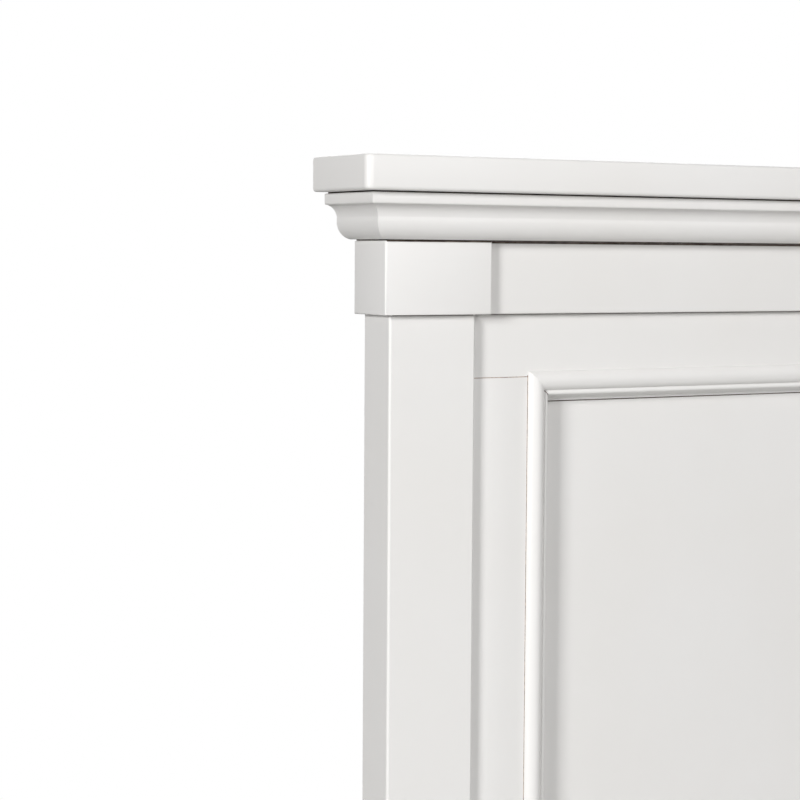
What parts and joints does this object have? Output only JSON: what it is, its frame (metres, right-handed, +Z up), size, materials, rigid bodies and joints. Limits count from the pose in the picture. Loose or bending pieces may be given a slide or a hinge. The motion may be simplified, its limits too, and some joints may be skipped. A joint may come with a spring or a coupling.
{
  "type": "bed headboard",
  "caption": "Off-white painted panelled bed headboard: corner posts with block capitals, frieze, moulded cornice and cap board, recessed panels in mitred mouldings, levelling glides.",
  "frame": {"origin": "on the floor, midway between the posts and midway between the front of the cap board and the flat back", "axes": "+X to the viewer's right along the headboard, -Y out of its face, +Z up"},
  "size_m": [1.69, 0.085, 1.45],
  "materials": {
    "lacquered_wood": "off-white satin lacquer on wood, sprayed, slightly eased edges",
    "dowel_beech": "unfinished beech, fluted dowel",
    "zinc_steel": "bright zinc-plated steel",
    "insert_brass": "turned brass",
    "pad_nylon": "moulded black nylon"
  },
  "bodies": {
    "headboard": {"back_batten_bottom": "lacquered_wood", "back_batten_top": "lacquered_wood", "batten_screws_bottom": "zinc_steel", "batten_screws_top": "zinc_steel", "bottom_rail": "lacquered_wood", "cap_board": "lacquered_wood", "cap_dowels": "dowel_beech", "capital_front_left": "lacquered_wood", "capital_front_right": "lacquered_wood", "capital_side_left": "lacquered_wood", "capital_side_right": "lacquered_wood", "crown_front": "lacquered_wood", "crown_left": "lacquered_wood", "crown_right": "lacquered_wood", "frieze_board": "lacquered_wood", "glide_insert_left": "insert_brass", "glide_insert_right": "insert_brass", "hook_plate_left": "zinc_steel", "hook_plate_right": "zinc_steel", "hook_plate_screws_left": "zinc_steel", "hook_plate_screws_right": "zinc_steel", "moulding_centre_bottom": "lacquered_wood", "moulding_centre_left": "lacquered_wood", "moulding_centre_right": "lacquered_wood", "moulding_centre_top": "lacquered_wood", "moulding_left_bottom": "lacquered_wood", "moulding_left_left": "lacquered_wood", "moulding_left_right": "lacquered_wood", "moulding_left_top": "lacquered_wood", "moulding_right_bottom": "lacquered_wood", "moulding_right_left": "lacquered_wood", "moulding_right_right": "lacquered_wood", "moulding_right_top": "lacquered_wood", "mullion_left": "lacquered_wood", "mullion_right": "lacquered_wood", "panel_centre": "lacquered_wood", "panel_left": "lacquered_wood", "panel_right": "lacquered_wood", "post_left": "lacquered_wood", "post_right": "lacquered_wood", "rail_dowels_left": "dowel_beech", "rail_dowels_right": "dowel_beech", "stile_dowels": "dowel_beech", "stile_left": "lacquered_wood", "stile_right": "lacquered_wood", "top_rail": "lacquered_wood"},
    "glide_left": {"glide_pad_left": "pad_nylon", "glide_stem_left": "zinc_steel"},
    "glide_right": {"glide_pad_right": "pad_nylon", "glide_stem_right": "zinc_steel"}
  },
  "joints": [
    {"name": "glide_left_travel", "type": "slide", "parent": "headboard", "child": "glide_left", "axis": [0, 0, -1], "range_m": [0, 0.012]},
    {"name": "glide_right_travel", "type": "slide", "parent": "headboard", "child": "glide_right", "axis": [0, 0, -1], "range_m": [0, 0.012]}
  ]
}
